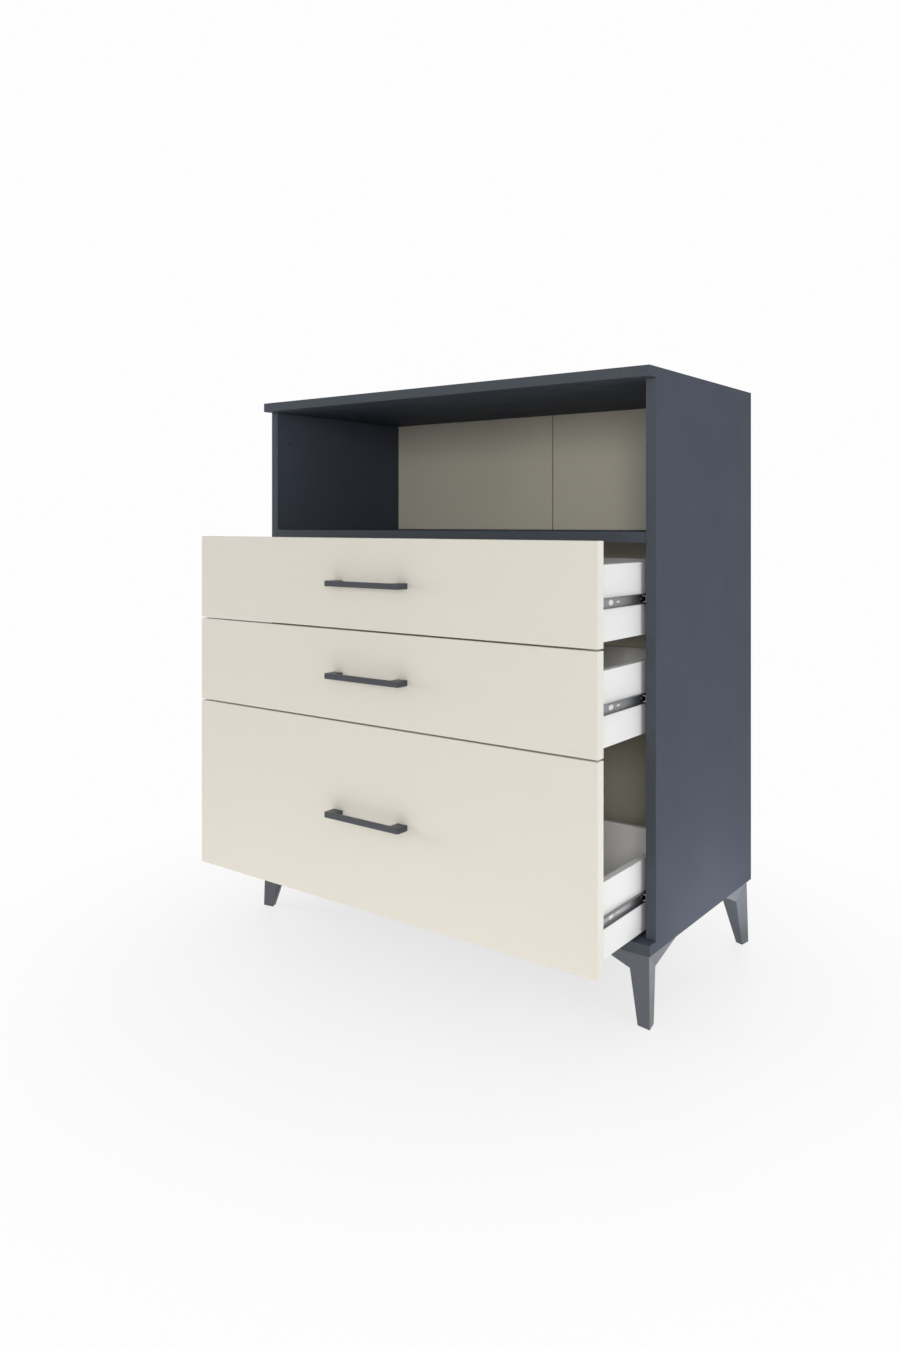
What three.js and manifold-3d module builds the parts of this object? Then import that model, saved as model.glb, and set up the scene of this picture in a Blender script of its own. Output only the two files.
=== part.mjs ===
// A chest of drawers in laminated board: an open bay above three drawers on ball-bearing slides,
// standing on four faceted corner legs. Millimetres, +Z up, and the drawer fronts face -Y.
// The drawers stand drawn out, as they are in everyday use, and slide in and out along Y.
import * as THREE from "three";
import Module from "manifold-3d";
import { ConvexGeometry } from "three/addons/geometries/ConvexGeometry.js";
import { mergeVertices } from "three/addons/utils/BufferGeometryUtils.js";

const wasm = await Module();
wasm.setup();

// Carcass
const carcassWidth = 900;
const panelDepth = 450; // top and bottom panels, front to back
const frontOverhang = 23; // how far they stand out in front of the side panels
const boardThickness = 18;
const bayHeight = 252; // clear height of the open bay
const boardGap = 0.3; // between boards that meet
const edgeEase = 0.5; // chamfer along a board's edges

// Back panel, in two sheets that slide into grooves
const backThickness = 3;
const backInset = 21; // its front face, measured in from the rear edges of the side panels
const backGrooveDepth = 8;
const backGrooveEnd = 1; // room left between a sheet's edge and the floor of its groove
const backSeamX = 10; // where the two sheets meet, right of the middle
const backSeamGap = 1.2;
const seamTapeWidth = 30;
const seamTapeThickness = 0.4;

// Blind bores in the inner faces of the side panels, in two pairs
const sideBoreDiameter = 5;
const sideBoreDepth = 10;
const frontBoreSetback = 37;
const rearBoreSetback = 331;
const frontBoreDrop = 34; // below the top panel
const rearBoreDrop = 132;
const borePitch = 32;

// Legs: u runs in along the front or rear edge from the corner, v runs in along the side edge
const legHeight = 118;
const legSplay = 2.5; // the top corner's inset, so that the corner edge leans out to the foot
const rearLegInset = 14;
const legWingReach = 105;
const legWingTipWidth = 6;
const legWingTipHeight = 2;
const legKneeDrop = 30.5; // below the bottom panel
const legKneeReach = 40;
const legKneeInset = 9;
const legRootDepth = 38;
const legFootReach = 23.5;
const legFootInset = 4;
const legFootDepth = 18;

// Drawer fronts
const shallowFrontHeight = 161;
const deepFrontHeight = 324;
const frontThickness = 18;
const frontGap = 3; // between fronts, and over the bottom panel
const frontReveal = 2; // at each side of a front
const frontLap = 6; // how far the top front reaches up over the shelf's edge
const closedGap = 2; // from the side panels' edges to a closed front
const restOpening = 172;

// Drawer boxes
const boxHeight = 120;
const boxLift = 3; // above the front's lower edge
const boxWall = 12;
const drawerFloorThickness = 3;
const drawerFloorLift = 10;
const floorGrooveDepth = 5;
const floorGrooveEnd = 0.5;

// Ball-bearing slides
const slideLength = 350;
const slideSpace = 10; // between a drawer's side and the side panel
const slideHeight = 17;
const slideSetback = 2; // from the side panels' edges to the cabinet rail
const railSetback = 2; // from the back of a front to the drawer rail
const railSheet = 0.8;
const railSeat = 0.3; // clearance between a rail and its board
const railBend = 1.6; // centre-line radius
const ballDiameter = 2.2;
const ballClearance = 0.15;
const cageLength = 84;
const cageSheet = 0.5;
const cageLip = 0.4; // flange left outside each ball
const cageEndMargin = 9;
const releaseHoleLength = 16;
const releaseHoleHeight = 9.5;
const releaseHoleSetback = 71; // behind the front
const railSlotLength = 11;
const railSlotHeight = 3;
const railSlotSetback = 95; // behind the front
const railScrewHoleDiameter = 4.5;
const railScrewHoleSetback = 35; // from each end of the cabinet rail

// Bar handles
const handleLength = 170;
const handleHeight = 10;
const handleStandoff = 26;
const handleBar = 6.5;
const handleFoot = 21.5;
const handleEase = 0.6;
const handleCorner = 1.5;
const handleFillet = 2;
const handleScrewDiameter = 4;
const handleScrewReach = 8; // into the foot
const handleScrewClearance = 0.4;
const handleScrewHeadDiameter = 8;
const handleScrewHeadHeight = 2.4;
const handleSeat = 0.3;

// Counts, angles and overruns
const roundSides = 16;
const arcSteps = 3;
const ballsPerRow = 4;
const ballSides = 6;
const ballRings = 4;
const outerLipAngle = THREE.MathUtils.degToRad(35);
const innerCurlAngle = THREE.MathUtils.degToRad(215);
const overrun = 1; // how far a cutter runs past the face it opens
const weld = 0.001;
const screwCrownShare = 0.6; // the share of a screw head's height below its bevel

// Places worked out from the sizes
const halfWidth = carcassWidth / 2;
const innerHalfWidth = halfWidth - boardThickness;
const sideDepth = panelDepth - frontOverhang;
const bottomTop = legHeight + boardThickness;
const backFront = sideDepth - backInset;
const frontHeights = [deepFrontHeight, shallowFrontHeight, shallowFrontHeight];
const frontBottoms = [];
let stackTop = bottomTop;
for (const height of frontHeights) {
  frontBottoms.push(stackTop + frontGap);
  stackTop += frontGap + height;
}
const shelfBottom = stackTop - frontLap;
const shelfTop = shelfBottom + boardThickness;
const topBottom = shelfTop + bayHeight;
const carcassHeight = topBottom + boardThickness;
const boxHalfWidth = innerHalfWidth - slideSpace;
const boxLength = railSetback + slideLength;
const frontBackAtRest = -closedGap - restOpening;
const drawerRailRear = frontBackAtRest + boxLength;
const cageMiddle = (slideSetback + drawerRailRear) / 2;
const handleReach = frontThickness + handleSeat + handleStandoff;
const foremost = frontBackAtRest - handleReach;

// Finishes
const finish = (color, roughness, metalness = 0) =>
  new THREE.MeshStandardMaterial({ color, roughness, metalness, flatShading: true });
const anthraciteBoard = finish(0x4d515d, 0.55);
const creamBoard = finish(0xdad6ca, 0.5);
const creamSheet = finish(0xcfcabd, 0.6);
const whiteBoard = finish(0xebebea, 0.5);
const legPlastic = finish(0x5f636b, 0.45);
const handlePaint = finish(0x50545c, 0.4, 0.3);
const railSteel = finish(0xa9acb0, 0.3, 0.9);
const cageSteel = finish(0x6f7277, 0.35, 0.8);
const screwSteel = finish(0xb6b8bb, 0.3, 0.9);
const seamTapeCloth = finish(0x3a3836, 0.8);

function toSolid(geometry) {
  const bare = geometry.clone();
  bare.deleteAttribute("normal");
  bare.deleteAttribute("uv");
  const merged = mergeVertices(bare, weld);
  const mesh = new wasm.Mesh({
    numProp: 3,
    vertProperties: merged.attributes.position.array,
    triVerts: new Uint32Array(merged.index.array),
  });
  return new wasm.Manifold(mesh);
}

function toGeometry(solid) {
  const mesh = solid.getMesh();
  const geometry = new THREE.BufferGeometry();
  geometry.setAttribute("position", new THREE.BufferAttribute(mesh.vertProperties, 3));
  geometry.setIndex(new THREE.BufferAttribute(mesh.triVerts, 1));
  geometry.computeVertexNormals();
  return geometry;
}

function cut(geometry, cutters) {
  let solid = toSolid(geometry);
  for (const cutter of cutters) {
    solid = solid.subtract(toSolid(cutter));
  }
  return toGeometry(solid);
}

function join(geometries) {
  let solid = toSolid(geometries[0]);
  for (const geometry of geometries.slice(1)) {
    solid = solid.add(toSolid(geometry));
  }
  return toGeometry(solid);
}

function place(group, name, geometry, material) {
  const mesh = new THREE.Mesh(geometry, material);
  mesh.name = name;
  group.add(mesh);
}

// A span is a pair [low, high] along one axis.
const length = (span) => span[1] - span[0];
const middle = (span) => (span[0] + span[1]) / 2;
const mirrored = (side, span) => (side < 0 ? [-span[1], -span[0]] : span);

// A rectangular board with every edge eased: each corner gives three points, one on each face.
function board(xSpan, ySpan, zSpan, ease = edgeEase) {
  const points = [];
  for (const i of [0, 1]) {
    for (const j of [0, 1]) {
      for (const k of [0, 1]) {
        const corner = new THREE.Vector3(xSpan[i], ySpan[j], zSpan[k]);
        const inward = new THREE.Vector3(i ? -ease : ease, j ? -ease : ease, k ? -ease : ease);
        for (const axis of ["x", "y", "z"]) {
          const point = corner.clone().add(inward);
          point[axis] = corner[axis];
          points.push(point);
        }
      }
    }
  }
  return new ConvexGeometry(points);
}

function block(xSpan, ySpan, zSpan) {
  const box = new THREE.BoxGeometry(length(xSpan), length(ySpan), length(zSpan));
  return box.translate(middle(xSpan), middle(ySpan), middle(zSpan));
}

function rodAlongX(diameter, xSpan, y, z) {
  const rod = new THREE.CylinderGeometry(diameter / 2, diameter / 2, length(xSpan), roundSides);
  return rod.rotateZ(Math.PI / 2).translate(middle(xSpan), y, z);
}

function ovalAlongX(yLength, zLength, xSpan, y, z) {
  const oval = rodAlongX(zLength, xSpan, 0, 0).scale(1, yLength / zLength, 1);
  return oval.translate(0, y, z);
}

function rodAlongY(diameter, ySpan, x, z) {
  const rod = new THREE.CylinderGeometry(diameter / 2, diameter / 2, length(ySpan), roundSides);
  return rod.translate(x, middle(ySpan), z);
}

// An outline in X and Z, pushed back along Y over a span.
function alongY(outline, ySpan) {
  const shape = new THREE.Shape(outline);
  const bar = new THREE.ExtrudeGeometry(shape, { depth: length(ySpan), bevelEnabled: false });
  return bar.rotateX(Math.PI / 2).translate(0, ySpan[1], 0);
}

function arc(centre, radius, from, to) {
  const points = [];
  for (let i = 0; i <= arcSteps; i += 1) {
    const angle = from + ((to - from) * i) / arcSteps;
    const x = centre.x + radius * Math.cos(angle);
    points.push(new THREE.Vector2(x, centre.y + radius * Math.sin(angle)));
  }
  return points;
}

// The outline of a sheet bent along a centre line, with mitred corners.
function bentSheet(path, thickness) {
  const near = [];
  const far = [];
  path.forEach((point, i) => {
    const before = path[Math.max(i - 1, 0)];
    const after = path[Math.min(i + 1, path.length - 1)];
    const arriving = point.clone().sub(before).normalize();
    const leaving = after.clone().sub(point).normalize();
    const along = arriving.clone().add(leaving).normalize();
    const square = new THREE.Vector2(-along.y, along.x);
    const straightness = i === 0 || i === path.length - 1 ? 1 : along.dot(leaving);
    square.multiplyScalar(thickness / 2 / straightness);
    near.push(point.clone().add(square));
    far.unshift(point.clone().sub(square));
  });
  return [...near, ...far];
}

// Carcass

function addCarcass(group) {
  const across = [-halfWidth, halfWidth];
  const panelSpan = [-frontOverhang, sideDepth];
  const grooveY = [backFront - boardGap, backFront + backThickness + boardGap];
  const grooveEnd = innerHalfWidth + backGrooveDepth;
  const grooveAcross = [-grooveEnd, grooveEnd];

  const bottomGroove = block(grooveAcross, grooveY, [bottomTop - backGrooveDepth, bottomTop + overrun]);
  const bottomBoard = board(across, panelSpan, [legHeight, bottomTop]);
  place(group, "bottom_panel", cut(bottomBoard, [bottomGroove]), anthraciteBoard);

  const topGroove = block(grooveAcross, grooveY, [topBottom - overrun, topBottom + backGrooveDepth]);
  const topBoard = board(across, panelSpan, [topBottom, carcassHeight]);
  place(group, "top_panel", cut(topBoard, [topGroove]), anthraciteBoard);

  for (const [name, side] of [["left_side_panel", -1], ["right_side_panel", 1]]) {
    const x = mirrored(side, [innerHalfWidth, halfWidth]);
    const z = [bottomTop + boardGap, topBottom - boardGap];
    const grooveX = mirrored(side, [innerHalfWidth - overrun, grooveEnd]);
    const grooveZ = [bottomTop - overrun, topBottom + overrun];
    const cutters = [block(grooveX, grooveY, grooveZ)];
    for (const [setback, drop] of [
      [frontBoreSetback, frontBoreDrop],
      [rearBoreSetback, rearBoreDrop],
    ]) {
      for (const step of [0, borePitch]) {
        const boreX = mirrored(side, [innerHalfWidth - overrun, innerHalfWidth + sideBoreDepth]);
        cutters.push(rodAlongX(sideBoreDiameter, boreX, setback, topBottom - drop - step));
      }
    }
    place(group, name, cut(board(x, [0, sideDepth], z), cutters), anthraciteBoard);
  }

  const shelfX = [-innerHalfWidth + boardGap, innerHalfWidth - boardGap];
  const shelfY = [0, backFront - boardGap];
  place(group, "fixed_shelf", board(shelfX, shelfY, [shelfBottom, shelfTop]), anthraciteBoard);
}

function addBack(group) {
  const reach = backGrooveDepth - backGrooveEnd;
  const y = [backFront, backFront + backThickness];
  const z = [bottomTop - reach, topBottom + reach];
  const outer = innerHalfWidth + reach;
  const left = block([-outer, backSeamX - backSeamGap / 2], y, z);
  place(group, "back_panel_left", left, creamSheet);
  const right = block([backSeamX + backSeamGap / 2, outer], y, z);
  place(group, "back_panel_right", right, creamSheet);

  const tapeX = [backSeamX - seamTapeWidth / 2, backSeamX + seamTapeWidth / 2];
  const tapeFront = backFront + backThickness + boardGap;
  const tapeZ = [bottomTop + boardGap, topBottom - boardGap];
  const tape = block(tapeX, [tapeFront, tapeFront + seamTapeThickness], tapeZ);
  place(group, "back_seam_tape", tape, seamTapeCloth);
}

// A corner leg is three faceted solids in one: a shank that tapers down to the foot, and two
// wings that run up to points under the panel's edges.
function legGeometry(sideX, sideY) {
  const cornerX = sideX * halfWidth;
  const cornerY = sideY < 0 ? -frontOverhang : sideDepth - rearLegInset;
  const at = (u, v, z) => new THREE.Vector3(cornerX - sideX * u, cornerY - sideY * v, z);
  const top = legHeight - boardGap;
  const knee = legHeight - legKneeDrop;
  const tip = top - legWingTipHeight;
  const tipWidth = legSplay + legWingTipWidth;
  const corner = at(legSplay, legSplay, top);
  const root = at(legRootDepth, legRootDepth, top);
  const rootKnee = at(legRootDepth, legRootDepth, knee);
  const kneeAcross = at(legKneeReach, legKneeInset, knee);
  const kneeAlong = at(legKneeInset, legKneeReach, knee);
  const shank = [
    corner,
    root,
    rootKnee,
    kneeAcross,
    kneeAlong,
    at(0, 0, 0),
    at(legFootReach, legFootInset, 0),
    at(legFootInset, legFootReach, 0),
    at(legFootDepth, legFootDepth, 0),
  ];
  const wingAcross = [
    corner,
    root,
    rootKnee,
    kneeAcross,
    at(legWingReach, legSplay, top),
    at(legWingReach, tipWidth, top),
    at(legWingReach, legSplay, tip),
  ];
  const wingAlong = [
    corner,
    root,
    rootKnee,
    kneeAlong,
    at(legSplay, legWingReach, top),
    at(tipWidth, legWingReach, top),
    at(legSplay, legWingReach, tip),
  ];
  return join([shank, wingAcross, wingAlong].map((points) => new ConvexGeometry(points)));
}

function addLegs(group) {
  for (const [end, sideY] of [["front", -1], ["rear", 1]]) {
    for (const [hand, sideX] of [["left", -1], ["right", 1]]) {
      place(group, end + "_" + hand + "_leg", legGeometry(sideX, sideY), legPlastic);
    }
  }
}

// Slides. Seen from the front, u runs out from the drawer's side to the side panel and v runs up.
// The drawer rail is the outer channel and the cabinet rail nests inside it on two rows of balls.

const raceRadius = ballDiameter / 2 + ballClearance + railSheet / 2;
const ballU = slideSpace / 2;
const outerFlangeV = slideHeight / 2 - railSheet / 2;
const ballV = outerFlangeV - raceRadius;
const innerFlangeV = ballV - raceRadius;
const outerWebU = railSeat + railSheet / 2;
const innerWebU = slideSpace - railSeat - railSheet / 2;
const ballCentre = new THREE.Vector2(ballU, ballV);
const rightAngle = Math.PI / 2;

function bothHalves(upper) {
  const lower = upper.map((point) => new THREE.Vector2(point.x, -point.y)).reverse();
  return [...upper, ...lower];
}

function outerRailPath() {
  const bend = new THREE.Vector2(outerWebU + railBend, outerFlangeV - railBend);
  const lip = arc(ballCentre, raceRadius, outerLipAngle, rightAngle);
  return bothHalves([...lip, ...arc(bend, railBend, rightAngle, 2 * rightAngle)]);
}

function innerRailPath() {
  const bend = new THREE.Vector2(innerWebU - railBend, innerFlangeV - railBend);
  const curl = arc(ballCentre, raceRadius, innerCurlAngle, 3 * rightAngle);
  return bothHalves([...curl, ...arc(bend, railBend, rightAngle, 0)]);
}

function cagePath() {
  const curlEnd = ballU + (raceRadius + railSheet / 2) * Math.cos(innerCurlAngle);
  const webU = (outerWebU + railSheet / 2 + curlEnd) / 2;
  const flangeEnd = ballU + ballDiameter / 2 + cageLip;
  return bothHalves([new THREE.Vector2(flangeEnd, ballV), new THREE.Vector2(webU, ballV)]);
}

// Turns a slide's section into an outline in X and Z on one side of the chest.
function slideOutline(path, thickness, side, height) {
  const toWorld = (point) =>
    new THREE.Vector2(side * (boxHalfWidth + point.x), height + point.y);
  return bentSheet(path, thickness).map(toWorld);
}

function cabinetRail(side, height) {
  const y = [slideSetback, slideSetback + slideLength];
  const rail = alongY(slideOutline(innerRailPath(), railSheet, side, height), y);
  const webX = mirrored(side, [boxHalfWidth + ballU, innerHalfWidth + overrun]);
  const holes = [y[0] + railScrewHoleSetback, middle(y), y[1] - railScrewHoleSetback].map((at) =>
    rodAlongX(railScrewHoleDiameter, webX, at, height),
  );
  return cut(rail, holes);
}

function drawerRail(side, height) {
  const rail = alongY(slideOutline(outerRailPath(), railSheet, side, height), [
    railSetback,
    railSetback + slideLength,
  ]);
  const webX = mirrored(side, [boxHalfWidth - overrun, boxHalfWidth + ballU - ballDiameter / 2]);
  const slotY = [railSlotSetback - railSlotLength / 2, railSlotSetback + railSlotLength / 2];
  const slotZ = [height - railSlotHeight / 2, height + railSlotHeight / 2];
  return cut(rail, [
    ovalAlongX(releaseHoleLength, releaseHoleHeight, webX, releaseHoleSetback, height),
    block(webX, slotY, slotZ),
  ]);
}

function ballCage(side, height) {
  const y = [cageMiddle - cageLength / 2, cageMiddle + cageLength / 2];
  const strip = alongY(slideOutline(cagePath(), cageSheet, side, height), y);
  const x = side * (boxHalfWidth + ballU);
  const pitch = (cageLength - 2 * cageEndMargin) / (ballsPerRow - 1);
  const balls = [];
  for (const row of [-1, 1]) {
    for (let i = 0; i < ballsPerRow; i += 1) {
      const ball = new THREE.SphereGeometry(ballDiameter / 2, ballSides, ballRings);
      ball.rotateX(rightAngle);
      balls.push(ball.translate(x, y[0] + cageEndMargin + i * pitch, height + row * ballV));
    }
  }
  return join([strip, ...balls]);
}

const hands = [
  ["left", -1],
  ["right", 1],
];

function addSlides(group, drawerName, boxMiddle) {
  for (const [hand, side] of hands) {
    place(group, drawerName + "_cabinet_rail_" + hand, cabinetRail(side, boxMiddle), railSteel);
    place(group, drawerName + "_ball_cage_" + hand, ballCage(side, boxMiddle), cageSteel);
  }
}

// Drawers. Each group's zero is the back face of the front, at the front's lower edge.

function frontGeometry(frontHeight, screwPlaces, floorX, floorZ) {
  const frontX = [-halfWidth + frontReveal, halfWidth - frontReveal];
  const face = board(frontX, [-frontThickness, 0], [0, frontHeight]);
  const through = [-frontThickness - overrun, overrun];
  const holeDiameter = handleScrewDiameter + 2 * handleScrewClearance;
  const groove = block(floorX, [-floorGrooveDepth, overrun], floorZ);
  const holes = screwPlaces.map(([x, z]) => rodAlongY(holeDiameter, through, x, z));
  return cut(face, [groove, ...holes]);
}

function handleGeometry(height, screwPlaces) {
  const back = -frontThickness - handleSeat;
  const front = back - handleStandoff;
  const end = handleLength / 2;
  const shape = new THREE.Shape();
  shape.moveTo(-end, back);
  shape.lineTo(-end, front + handleCorner);
  shape.lineTo(-end + handleCorner, front);
  shape.lineTo(end - handleCorner, front);
  shape.lineTo(end, front + handleCorner);
  shape.lineTo(end, back);
  shape.lineTo(end - handleFoot, back);
  shape.lineTo(end - handleFoot, front + handleBar + handleFillet);
  shape.lineTo(end - handleFoot - handleFillet, front + handleBar);
  shape.lineTo(-end + handleFoot + handleFillet, front + handleBar);
  shape.lineTo(-end + handleFoot, front + handleBar + handleFillet);
  shape.lineTo(-end + handleFoot, back);
  shape.closePath();
  const bar = new THREE.ExtrudeGeometry(shape, {
    depth: handleHeight - 2 * handleEase,
    bevelThickness: handleEase,
    bevelSize: handleEase,
    bevelOffset: -handleEase,
    bevelSegments: 1,
  });
  bar.translate(0, 0, height - handleHeight / 2 + handleEase);
  const boreDiameter = handleScrewDiameter + 2 * handleScrewClearance;
  const boreEnd = back - handleScrewReach - handleScrewClearance;
  const bores = screwPlaces.map(([x, z]) =>
    rodAlongY(boreDiameter, [boreEnd, back + overrun], x, z),
  );
  return cut(bar, bores);
}

// The screw is turned on its own axis, from the tip in the handle's foot to the crown of its head.
function handleScrew([x, z]) {
  const tip = -frontThickness - handleSeat - handleScrewReach;
  const shank = handleScrewDiameter / 2;
  const head = handleScrewHeadDiameter / 2;
  const bevel = handleScrewHeadHeight * screwCrownShare;
  const profile = [
    new THREE.Vector2(0, tip),
    new THREE.Vector2(shank, tip),
    new THREE.Vector2(shank, handleSeat),
    new THREE.Vector2(head, handleSeat),
    new THREE.Vector2(head, handleSeat + bevel),
    new THREE.Vector2(head * screwCrownShare, handleSeat + handleScrewHeadHeight),
    new THREE.Vector2(0, handleSeat + handleScrewHeadHeight),
  ];
  return new THREE.LatheGeometry(profile, roundSides).translate(x, 0, z);
}

function addDrawer(parent, name, frontBottom, frontHeight) {
  const drawer = new THREE.Group();
  drawer.position.set(0, frontBackAtRest, frontBottom);
  parent.add(drawer);

  const inner = boxHalfWidth - boxWall;
  const boxZ = [boxLift, boxLift + boxHeight];
  const floorLow = boxLift + drawerFloorLift;
  const floorZ = [floorLow, floorLow + drawerFloorThickness];
  const grooveZ = [floorZ[0] - boardGap, floorZ[1] + boardGap];
  const grooveX = [-inner - floorGrooveDepth, inner + floorGrooveDepth];
  const sideY = [boardGap, boxLength];
  const backY = [boxLength - boxWall, boxLength];
  const grooveY = [-floorGrooveDepth, backY[0] + floorGrooveDepth];
  const handleMiddle = frontHeight / 2;
  const screwX = handleLength / 2 - handleFoot / 2;
  const screwPlaces = [
    [-screwX, handleMiddle],
    [screwX, handleMiddle],
  ];

  const front = frontGeometry(frontHeight, screwPlaces, grooveX, grooveZ);
  place(drawer, name + "_front", front, creamBoard);
  place(drawer, name + "_handle", handleGeometry(handleMiddle, screwPlaces), handlePaint);
  screwPlaces.forEach((at, i) => {
    place(drawer, name + "_handle_screw_" + hands[i][0], handleScrew(at), screwSteel);
  });

  for (const [hand, side] of hands) {
    const wall = board(mirrored(side, [inner, boxHalfWidth]), sideY, boxZ);
    const groove = block(grooveX, grooveY, grooveZ);
    place(drawer, name + "_side_" + hand, cut(wall, [groove]), whiteBoard);
    const rail = drawerRail(side, middle(boxZ));
    place(drawer, name + "_rail_" + hand, rail, railSteel);
  }

  const back = board([-inner + boardGap, inner - boardGap], backY, boxZ);
  place(drawer, name + "_back", cut(back, [block(grooveX, grooveY, grooveZ)]), whiteBoard);

  const edge = floorGrooveDepth - floorGrooveEnd;
  const floorX = [-inner - edge, inner + edge];
  const floorY = [-edge, backY[0] + edge];
  place(drawer, name + "_floor", block(floorX, floorY, floorZ), creamSheet);
}

// The model's zero is on the floor, under the middle of the chest with its drawers drawn out.
const chest = new THREE.Group();
chest.position.y = -(foremost + sideDepth) / 2;
addCarcass(chest);
addBack(chest);
addLegs(chest);
["bottom", "middle", "top"].forEach((name, i) => {
  addSlides(chest, name, frontBottoms[i] + boxLift + boxHeight / 2);
  addDrawer(chest, name + "_drawer", frontBottoms[i], frontHeights[i]);
});

export default chest;
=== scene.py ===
# %% [markdown]
# # A commode chest, dressed in Blender
# The chest is an open bay over three drawers, made of laminated board and standing on four moulded
# corner legs. Its shapes and sizes were drawn in CAD, and they come in here as a fixed frame. This
# lesson gives the chest its finishes, its small fasteners, a studio to stand in and a camera.

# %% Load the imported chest
import math

import bmesh
import bpy
from mathutils import Matrix, Vector


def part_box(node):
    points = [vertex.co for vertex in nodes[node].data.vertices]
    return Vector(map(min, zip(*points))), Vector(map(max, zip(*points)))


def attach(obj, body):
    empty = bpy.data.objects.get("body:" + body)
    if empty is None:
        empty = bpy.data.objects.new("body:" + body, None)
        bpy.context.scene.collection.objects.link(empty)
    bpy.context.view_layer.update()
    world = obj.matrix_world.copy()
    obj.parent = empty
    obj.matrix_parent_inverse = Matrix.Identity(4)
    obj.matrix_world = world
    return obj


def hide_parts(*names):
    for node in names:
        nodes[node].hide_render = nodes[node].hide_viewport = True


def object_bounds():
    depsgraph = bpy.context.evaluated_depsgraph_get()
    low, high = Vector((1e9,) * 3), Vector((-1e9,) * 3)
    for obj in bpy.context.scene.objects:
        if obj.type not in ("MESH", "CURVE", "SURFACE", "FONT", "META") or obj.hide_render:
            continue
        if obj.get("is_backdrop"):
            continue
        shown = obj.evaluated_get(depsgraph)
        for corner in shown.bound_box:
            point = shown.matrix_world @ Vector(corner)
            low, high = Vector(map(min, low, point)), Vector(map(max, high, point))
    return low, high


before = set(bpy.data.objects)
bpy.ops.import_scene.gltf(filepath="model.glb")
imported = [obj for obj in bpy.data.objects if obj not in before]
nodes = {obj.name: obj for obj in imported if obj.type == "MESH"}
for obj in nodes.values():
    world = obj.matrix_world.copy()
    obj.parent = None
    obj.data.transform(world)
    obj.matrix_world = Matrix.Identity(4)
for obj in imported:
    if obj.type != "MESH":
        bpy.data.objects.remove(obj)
packed_low, packed_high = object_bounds()
scene = bpy.context.scene
mm = 0.001
print("nodes:", len(nodes), "box:", tuple(packed_low), tuple(packed_high))

# %% [markdown]
# ## The camera
# A photographer of furniture keeps the camera level, so that the chest's upright edges stay
# upright in the picture, and slides the lens down to bring the feet in. Blender's camera has the
# same control, called shift. The place, the turn and the focal length were worked out from the
# corners of the chest, so they are written here as numbers and not found by eye.

# %% Camera
photo_height = 1350
focal_pixels = 1016.0
horizon_row = 523.0
camera_place = (1.1741, -1.62885, 0.8175)
camera_turn = 0.6434
sensor = 36.0
near_limit = 0.05
far_limit = 100

camera_data = bpy.data.cameras.new("studio_camera")
camera_data.sensor_fit = "AUTO"
camera_data.sensor_width = sensor
camera_data.lens = sensor * focal_pixels / photo_height
camera_data.shift_y = (horizon_row - photo_height / 2) / photo_height
camera_data.clip_start = near_limit
camera_data.clip_end = far_limit
camera = bpy.data.objects.new("studio_camera", camera_data)
camera.location = camera_place
camera.rotation_euler = (math.pi / 2, 0, camera_turn)
scene.collection.objects.link(camera)
scene.camera = camera
print("lens", round(camera_data.lens, 3), "mm, shift", round(camera_data.shift_y, 4))

# %% [markdown]
# ## Building node trees in a script
# Every material below is a small tree of nodes. A few helpers keep the cells short: one makes a
# node, one joins two sockets or sets a plain value, whichever it is given, and the others make a
# sum, a change of range, a mixed colour or a soft random pattern. Colours are written as a picture
# shows them, and turned into linear light by the curve that screens follow.

# %% Helpers for node trees
def add_node(tree, kind, **settings):
    node = tree.nodes.new(kind)
    for name, value in settings.items():
        setattr(node, name, value)
    return node


def feed(tree, socket, value):
    if isinstance(value, bpy.types.NodeSocket):
        tree.links.new(value, socket)
    else:
        socket.default_value = value


def maths(tree, operation, *values):
    node = add_node(tree, "ShaderNodeMath", operation=operation)
    for socket, value in zip(node.inputs, values):
        feed(tree, socket, value)
    return node.outputs[0]


def spread(tree, value, low, high, from_low=0.0, from_high=1.0, smooth=False):
    """A value between from_low and from_high, carried over to the range from low to high."""
    node = add_node(tree, "ShaderNodeMapRange")
    node.interpolation_type = "SMOOTHSTEP" if smooth else "LINEAR"
    feed(tree, node.inputs["Value"], value)
    feed(tree, node.inputs["From Min"], from_low)
    feed(tree, node.inputs["From Max"], from_high)
    feed(tree, node.inputs["To Min"], low)
    feed(tree, node.inputs["To Max"], high)
    return node.outputs[0]


def swing(tree, value, amount, from_low=0.0, from_high=1.0):
    """A value carried over to the range from -amount to amount."""
    return spread(tree, value, -amount, amount, from_low, from_high)


def linear(red, green, blue):
    """A colour in linear light, from its three levels in a picture."""
    share = [value / 255 for value in (red, green, blue)]
    return [s / 12.92 if s <= 0.04045 else ((s + 0.055) / 1.055) ** 2.4 for s in share] + [1.0]


print("mid grey is", round(linear(128, 128, 128)[0], 3), "in linear light")

# %% Helpers for colours and patterns
def mix_colour(tree, share, first, second):
    node = add_node(tree, "ShaderNodeMix", data_type="RGBA")
    feed(tree, node.inputs["Factor"], share)
    for label, colour in (("A", first), ("B", second)):
        sockets = [s for s in node.inputs if s.name == label and s.type == "RGBA"]
        feed(tree, sockets[0], colour)
    return [s for s in node.outputs if s.type == "RGBA"][0]


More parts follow.
